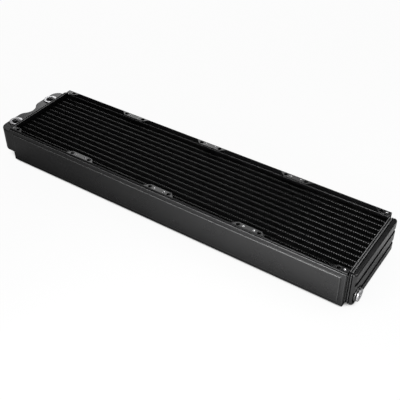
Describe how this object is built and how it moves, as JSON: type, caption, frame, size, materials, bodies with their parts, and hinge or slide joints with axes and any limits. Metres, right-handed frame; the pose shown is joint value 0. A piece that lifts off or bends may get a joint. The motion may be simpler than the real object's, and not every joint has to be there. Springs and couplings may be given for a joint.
{
  "type": "liquid cooling radiator",
  "caption": "Long liquid cooling radiator: finned flat-tube core between two end tanks, side channels with fan tabs above and below, threaded ports and a screw-out drain plug.",
  "frame": {"origin": "centre of the box's bottom face, on the plane of the lower fan tabs", "axes": "+X along the length from the port tank to the return tank, -Y out of the front side cover, +Z out of the upper fan face, where the ports open"},
  "size_m": [0.5992, 0.1398, 0.0573],
  "materials": {
    "black_paint": "satin black",
    "core_paint": "matt black",
    "bare_brass": "bare",
    "chrome": "polished",
    "rubber": "matt"
  },
  "bodies": {
    "radiator": {"front_side_channel": "black_paint", "rear_side_channel": "black_paint", "front_side_cover": "black_paint", "rear_side_cover": "black_paint", "front_core_plate": "black_paint", "rear_core_plate": "black_paint", "port_header_plate": "black_paint", "return_header_plate": "black_paint", "port_tank": "black_paint", "return_tank": "black_paint", "tank_divider": "bare_brass", "inlet_collar": "chrome", "outlet_collar": "chrome", "drain_bush": "chrome", "coolant_tube_01": "core_paint", "coolant_tube_02": "core_paint", "coolant_tube_03": "core_paint", "coolant_tube_04": "core_paint", "coolant_tube_05": "core_paint", "coolant_tube_06": "core_paint", "coolant_tube_07": "core_paint", "coolant_tube_08": "core_paint", "coolant_tube_09": "core_paint", "coolant_tube_10": "core_paint", "coolant_tube_11": "core_paint", "coolant_tube_12": "core_paint", "fin_strip_01": "core_paint", "fin_strip_02": "core_paint", "fin_strip_03": "core_paint", "fin_strip_04": "core_paint", "fin_strip_05": "core_paint", "fin_strip_06": "core_paint", "fin_strip_07": "core_paint", "fin_strip_08": "core_paint", "fin_strip_09": "core_paint", "fin_strip_10": "core_paint", "fin_strip_11": "core_paint", "fin_strip_12": "core_paint", "fin_strip_13": "core_paint"},
    "drain_seal": {"drain_seal": "rubber"},
    "drain_plug": {"drain_plug": "chrome"}
  },
  "joints": [
    {"name": "plug_out", "type": "slide", "parent": "radiator", "child": "drain_seal", "axis": [1, 0, 0], "range_m": [0, 0.00669]},
    {"name": "plug_turn", "type": "hinge", "parent": "drain_seal", "child": "drain_plug", "pos_m": [0.29735, -0.05175, 0.0164], "axis": [1, 0, 0], "range_deg": [0, 1800]}
  ],
  "couplings": [
    {"joint": "plug_out", "follows": "plug_turn", "m_per_rad": 0.00021279}
  ]
}
